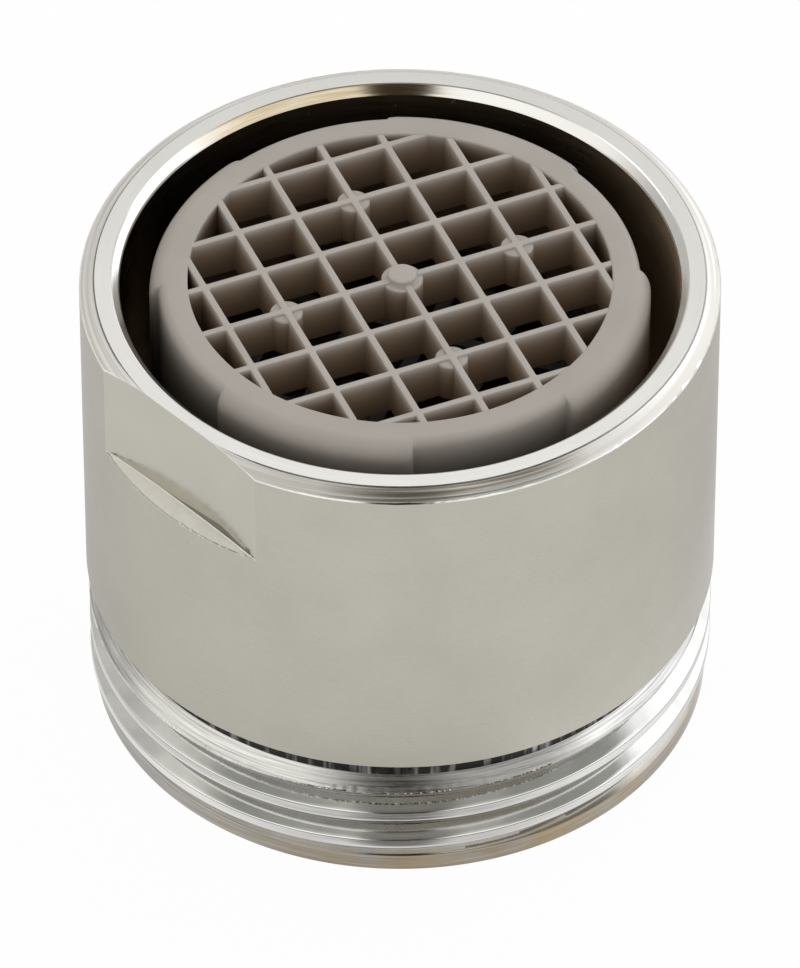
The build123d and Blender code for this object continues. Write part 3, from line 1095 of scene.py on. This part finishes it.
def shaded_groove(finish):
    """Undercut: painted shade under the shoulder, broken by lighter bars of tool chatter."""
    make = Finish("shaded_groove", PLATE)
    bars = make.remap(make.stretched((3800.0, 3800.0, 240.0), detail=2.0), 0.50, 0.72)
    # Painted shade: the dark tone stands for the shadow under the shoulder
    tint = make.blend(bars, scaled(finish.bright_plate, 0.04), scaled(finish.bright_plate, 0.45))
    return make.cover(tint, make.remap(bars, 0.0, 1.0, 0.25, 0.12))


def worn_edge(finish):
    """Worn edges: plate broken through to dark brass, with bright specks left of it."""
    make = Finish("worn_edge", PLATE)
    specks = make.noise(scale=14000.0, detail=2.0)
    near = make.remap(make.nearness(finish.wear_and_shade_side), 0.72, 0.92)
    worn = make.times(make.remap(specks, 0.50, 0.60, 1.0, 0.0), near)
    tint = make.blend(worn, scaled(finish.bright_plate, 0.85), scaled(finish.worn_brass, 0.25))
    return make.cover(tint, make.remap(specks, 0.50, 0.60, 0.12, 0.50), specks, depth=3.0e-6)


def shaded_root(finish):
    """Thread flanks, roots and tool corners: duller plate, darkened as painted shade, and darker
    still near the wear and shade side.
    """
    make = Finish("shaded_root", PLATE)
    near = make.remap(make.nearness(finish.wear_and_shade_side), 0.92, 0.985)
    tint = make.blend(near, scaled(finish.bright_plate, 0.36), finish.root_shade)
    return make.cover(tint, make.waver(make.noise(scale=6000.0, detail=2.0), 0.16, 0.30))


def faced_plate(finish):
    """Faced ring of the rim: bright plate over fine rings from the facing tool."""
    make = Finish("faced_plate", PLATE)
    lines = make.lathe(along=4.0, across=40000.0, detail=2.0)
    tint = make.tones(make.noise(scale=380.0), finish.faced_plate, 0.97, 1.03)
    return make.cover(tint, make.waver(lines, 0.16, 0.24), lines, depth=0.3e-6)


def bore_plate(finish):
    """Bore: thin, dull plate, dark partly from the brass beneath and partly as painted shade in the
    recess, paler on one side as painted light, with specks of dust.
    """
    make = Finish("bore_plate", PLATE)
    lines = make.lathe(along=6.0, across=9000.0, detail=3.0)
    dust = make.remap(make.noise(scale=5200.0, detail=0.0), 0.82, 0.86)
    near = make.remap(make.nearness(finish.painted_light_side), 0.5, 0.95)
    tint = make.tones(lines, finish.bore_plate, 0.8, 1.2)
    # Painted light: the bore is paler and rougher towards one side
    tint = make.blend(near, tint, scaled(finish.bore_plate, 3.6))
    roughness = make.times_plus(near, 0.3, make.waver(lines, 0.12, 0.24))
    return make.cover(make.blend(dust, tint, finish.dust), roughness, lines, depth=0.5e-6)


def moulded_finish(name, tint, sheen, grain_depth=0.6e-6, constants=None, painted_shade=None):
    """Moulded plastic: slightly cloudy, with a fine grain, and a painted shade that darkens it
    downwards.
    """
    make = Finish(name, constants or {})
    grain = make.noise(scale=14000.0)
    tone = make.tones(make.noise(scale=480.0), tint, 0.95, 1.05)
    if painted_shade:
        shade_tint, shade_top, shade_fade = painted_shade
        # Painted shade: the colour darkens below a height
        fall = make.times_plus(make.height(), 1.0 / shade_fade, -shade_top / shade_fade)
        unshaded = make.math("EXPONENT", make.math("MINIMUM", fall, 0.0))
        tone = make.blend(unshaded, shade_tint, tone)
    return make.cover(tone, make.waver(grain, *sheen), grain, grain_depth)


def outlet_moulding_finish(name, tint, painted_shade):
    """Plastic of the outlet moulding, with a painted shade."""
    return moulded_finish(name, tint, (0.42, 0.52), constants=MOULDING_SHEEN, painted_shade=painted_shade)


def grey_moulding(finish, sizes):
    """Outlet cup: warm grey plastic, with painted shade darker down the wall."""
    unshaded_height, reach = 0.35 * MM, 0.8 * MM
    painted_shade = (scaled(finish.moulding, 0.25), sizes.ring_top - unshaded_height, reach)
    return outlet_moulding_finish("grey_moulding", finish.moulding, painted_shade)


def grid_moulding(finish, sizes):
    """Outlet grid: the same plastic, with a brown painted shade down in the cells."""
    unshaded_height, reach = 0.04 * MM, 0.16 * MM
    painted_shade = (finish.moulding_shade, sizes.ring_top - sizes.rib_drop - unshaded_height, reach)
    return outlet_moulding_finish("grid_moulding", scaled(finish.moulding, 1.06), painted_shade)


# Stage

# Edges of the studio's panels, as shares of a direction: where their light begins and ends
BACK_EDGE, WALL_TOP = (-0.42, -0.10), (0.64, 0.70)
RIGHT_EDGE, RIGHT_FRONT = (0.12, 0.22), (0.45, 0.70)
LEFT_EDGE, LEFT_FRONT, LEFT_BACK = (0.0, 0.30), (0.50, 0.75), (-0.35, 0.15)
FRONT_SIDE, FRONT_EDGE, FRONT_FOOT = (0.11, 0.22), (0.18, 0.45), (0.05, 0.30)
STRIP_EDGE = (0.12, 0.50)
SIDE_LEAN = 0.6
SENSOR_WIDTH = 36.0

# Shares of the side panels that are left towards the camera
RIGHT_KEPT, LEFT_KEPT = 0.1, 0.2

# Rings and strips of the floor that metal shows, with painted light and painted shade
NEAR_PART, AT_FOOT = (11.5 * MM, 13.5 * MM), (9.2 * MM, 10.0 * MM)
RIGHT_STRIP, MIDDLE_STRIP = (4.5 * MM, 7.0 * MM), (3.0 * MM, 6.5 * MM)
SHADE_OFF, SHADE_FULL, SHADE_FLAT = 1.22, 0.3, 0.5
SHADE_STRENGTH, STRIP_STRENGTH = 0.8, 0.22
SHADE_TONE = (0.05, 0.05, 0.05, 1.0)


def camera_axes(stage):
    """Directions towards the camera over the floor, and to the right in its picture."""
    towards = Vector((sin(stage.view_azimuth), -cos(stage.view_azimuth), 0))
    right = Vector((cos(stage.view_azimuth), sin(stage.view_azimuth), 0))
    return towards, right


def make_world(stage):
    """Studio room: panels round the part, a grey ceiling and a dark strip behind the camera."""
    towards, right = camera_axes(stage)
    world = bpy.data.worlds.new("studio")
    world.use_nodes = True
    make = Nodes(world.node_tree)
    way = make.add("ShaderNodeTexCoord")["Generated"]
    front = make.vector("DOT_PRODUCT", way, towards)
    side = make.vector("DOT_PRODUCT", way, right)
    up = make.height(way)
    lean = make.times(up, SIDE_LEAN)
    to_right = make.math("SUBTRACT", side, lean)
    to_left = make.math("SUBTRACT", make.times(side, -1.0), lean)

    back = make.blend(make.remap(up, *WALL_TOP), stage.back_wall, stage.back_light)
    light = make.blend(make.smooth(front, *BACK_EDGE, 1.0, 0.0), stage.top_light, back)
    in_right = make.smooth(to_right, *RIGHT_EDGE)
    in_right = make.times(in_right, make.remap(front, *RIGHT_FRONT, 1.0, RIGHT_KEPT))
    light = make.blend(in_right, light, stage.right_light)
    in_left = make.smooth(to_left, *LEFT_EDGE)
    in_left = make.times(in_left, make.remap(front, *LEFT_FRONT, 1.0, LEFT_KEPT))
    left = make.blend(make.smooth(front, *LEFT_BACK, 1.0, 0.0), stage.left_light, stage.back_wall)
    light = make.blend(in_left, light, left)
    beside = make.smooth(make.math("ABSOLUTE", side), *FRONT_SIDE)
    panel = make.times(beside, make.smooth(front, *FRONT_EDGE))
    panel = make.times(panel, make.smooth(up, *FRONT_FOOT))
    light = make.blend(panel, light, stage.front_light)
    strip = make.times(make.math("SUBTRACT", 1.0, beside), make.remap(front, *STRIP_EDGE))
    light = make.blend(strip, light, stage.front_dark)
    light = make.blend(make.add("ShaderNodeLightPath")["Is Camera Ray"], light, WHITE)
    background = make.tree.nodes["Background"].inputs
    make.tree.links.new(light, background["Color"])
    background["Strength"].default_value = 1.0
    bpy.context.scene.world = world


def make_floor(stage):
    """Pale floor that shows as white and keeps a faint shadow, with painted light and a painted
    shade that only the metal shows.
    """
    half = stage.floor_size / 2
    mesh = bpy.data.meshes.new("floor")
    corners = [(-half, -half, 0), (half, -half, 0), (half, half, 0), (-half, half, 0)]
    mesh.from_pydata(corners, [], [(0, 1, 2, 3)])
    floor = bpy.data.objects.new("floor", mesh)
    bpy.context.scene.collection.objects.link(floor)
    material = bpy.data.materials.new("pale_floor")
    material.use_nodes = True
    make = Nodes(material.node_tree)
    make.tree.nodes.remove(make.tree.nodes["Principled BSDF"])
    towards, right = camera_axes(stage)
    place = make.place()
    side = make.vector("DOT_PRODUCT", place, right)
    forward = make.vector("DOT_PRODUCT", place, towards)
    radius = make.vector("LENGTH", place)
    paths = make.add("ShaderNodeLightPath")
    mirrored = make.math("MAXIMUM", paths["Is Glossy Ray"], paths["Is Transmission Ray"])

    # White of the floor, in the picture and in the metal; painted light: the metal sees it brighter
    # at the foot and close by on the right
    near_part = make.smooth(radius, *NEAR_PART, 1.0, 0.0)
    close_by = make.times(near_part, make.remap(side, *RIGHT_STRIP))
    close_by = make.math("MAXIMUM", close_by, make.smooth(radius, *AT_FOOT, 1.0, 0.0))
    white = make.remap(close_by, 0.0, 1.0, stage.floor_mirror, stage.floor_right)
    white = make.times(mirrored, white)
    white = make.times_plus(paths["Is Camera Ray"], stage.floor_glow, white)

    # Shade that only the metal shows, before the part's foot
    forward = make.math("SUBTRACT", forward, HOUSING_HIGH.x + SHADE_OFF * stage.shade_reach)
    spot = make.add("ShaderNodeCombineXYZ", {0: make.times(side, SHADE_FLAT), 1: forward})[0]
    away, reach = make.vector("LENGTH", spot), stage.shade_reach
    shade = make.smooth(away, SHADE_FULL * reach, reach, SHADE_STRENGTH, 0.0)
    around = make.remap(make.math("ABSOLUTE", side), *MIDDLE_STRIP, STRIP_STRENGTH, 0.0)
    shade = make.math("MAXIMUM", shade, make.times(around, near_part))
    shade = make.times(mirrored, shade)

    surface = make.add("ShaderNodeBsdfDiffuse", {"Color": (*stage.floor_colour, 1.0)})[0]
    for mask, tone in ((white, (*WHITE, 1.0)), (shade, SHADE_TONE)):
        glow = make.add("ShaderNodeEmission", {"Color": tone, "Strength": 1.0})[0]
        surface = make.add("ShaderNodeMixShader", {0: mask, 1: surface, 2: glow})[0]
    make.tree.links.new(surface, make.tree.nodes["Material Output"].inputs["Surface"])
    mesh.materials.append(material)


def make_camera(stage):
    """Camera at the height and angle of a product photo, with a long lens."""
    camera = bpy.data.cameras.new("camera")
    camera.lens = stage.lens
    camera.sensor_width = SENSOR_WIDTH
    holder = bpy.data.objects.new("camera", camera)
    bpy.context.scene.collection.objects.link(holder)
    towards, _ = camera_axes(stage)
    back = towards * cos(stage.view_elevation) + Vector((0, 0, sin(stage.view_elevation)))
    holder.location = Vector((0, 0, stage.view_height)) + back * stage.view_distance
    holder.rotation_mode = "QUATERNION"
    holder.rotation_quaternion = (-back).to_track_quat("-Z", "Y")
    bpy.context.scene.camera = holder


# Operators

class AERATOR_OT_housing(Operator):
    """Build the plated housing with its thread and wrench flat"""

    bl_idname = "aerator.housing"
    bl_label = "Plated Housing"

    def execute(self, context):
        settings = context.scene.aerator
        piece = make_housing(settings.housing, settings.thread, settings.finish)
        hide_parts("housing")
        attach(piece, "root")
        return {"FINISHED"}


class AERATOR_OT_outlet_moulding(Operator):
    """Build the grey outlet moulding with its square grid"""

    bl_idname = "aerator.outlet_moulding"
    bl_label = "Outlet Moulding"

    def execute(self, context):
        settings = context.scene.aerator
        piece = make_outlet_moulding(settings.insert, settings.finish)
        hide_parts("outlet_cup")
        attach(piece, "root")
        return {"FINISHED"}


class AERATOR_OT_inner_pieces(Operator):
    """Finish the screens, the jet splitter and the strainer"""

    bl_idname = "aerator.inner_pieces"
    bl_label = "Inner Pieces"

    def execute(self, context):
        finish = context.scene.aerator.finish
        screens = moulded_finish("screen_moulding", finish.screens, (0.5, 0.6))
        splitter = moulded_finish("splitter_moulding", finish.splitter, (0.45, 0.55))
        strainer = moulded_finish("strainer_moulding", finish.strainer, (0.4, 0.5))
        for node, material in (
            ("outlet_screen", screens),
            ("inlet_screen", screens),
            ("jet_splitter", splitter),
            ("strainer", strainer),
        ):
            dress_node(node, material)
        return {"FINISHED"}


class AERATOR_OT_sealing_washer(Operator):
    """Finish the rubber washer"""

    bl_idname = "aerator.sealing_washer"
    bl_label = "Sealing Washer"

    def execute(self, context):
        finish = context.scene.aerator.finish
        rubber = moulded_finish("seal_rubber", finish.rubber, (0.6, 0.75), grain_depth=2.0e-6)
        dress_node("sealing_washer", rubber)
        return {"FINISHED"}


class AERATOR_OT_stage(Operator):
    """Set up the floor, the light and the camera"""

    bl_idname = "aerator.stage"
    bl_label = "Studio Stage"

    def execute(self, context):
        stage = context.scene.aerator.stage
        make_floor(stage)
        make_world(stage)
        make_camera(stage)
        context.scene.view_settings.view_transform = "Standard"
        return {"FINISHED"}


def dress_node(node, material):
    """Gives a carried-over solid its finish."""
    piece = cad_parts[node]
    piece.data.materials.clear()
    piece.data.materials.append(material)


class AERATOR_PT_panel(Panel):
    """Lists the steps that build the aerator"""

    bl_idname = "AERATOR_PT_panel"
    bl_label = "Tap Aerator"
    bl_space_type = "VIEW_3D"
    bl_region_type = "UI"
    bl_category = "Aerator"

    def draw(self, context):
        column = self.layout.column()
        for operator in OPERATORS:
            column.operator(operator.bl_idname)


OPERATORS = (
    AERATOR_OT_housing,
    AERATOR_OT_outlet_moulding,
    AERATOR_OT_inner_pieces,
    AERATOR_OT_sealing_washer,
    AERATOR_OT_stage,
)
CLASSES = (
    AeratorHousingSizes,
    AeratorThreadSizes,
    AeratorInsertSizes,
    AeratorFinishes,
    AeratorStage,
    AeratorSettings,
    *OPERATORS,
    AERATOR_PT_panel,
)


def register():
    """Registers the classes and the scene's settings."""
    for each in CLASSES:
        bpy.utils.register_class(each)
    bpy.types.Scene.aerator = PointerProperty(type=AeratorSettings)


def unregister():
    """Takes the settings and the classes out again."""
    del bpy.types.Scene.aerator
    for each in reversed(CLASSES):
        bpy.utils.unregister_class(each)


def main():
    """Builds the aerator and its stage."""
    register()
    bpy.ops.aerator.housing()
    bpy.ops.aerator.outlet_moulding()
    bpy.ops.aerator.inner_pieces()
    bpy.ops.aerator.sealing_washer()
    bpy.ops.aerator.stage()


if __name__ == "__main__":
    main()
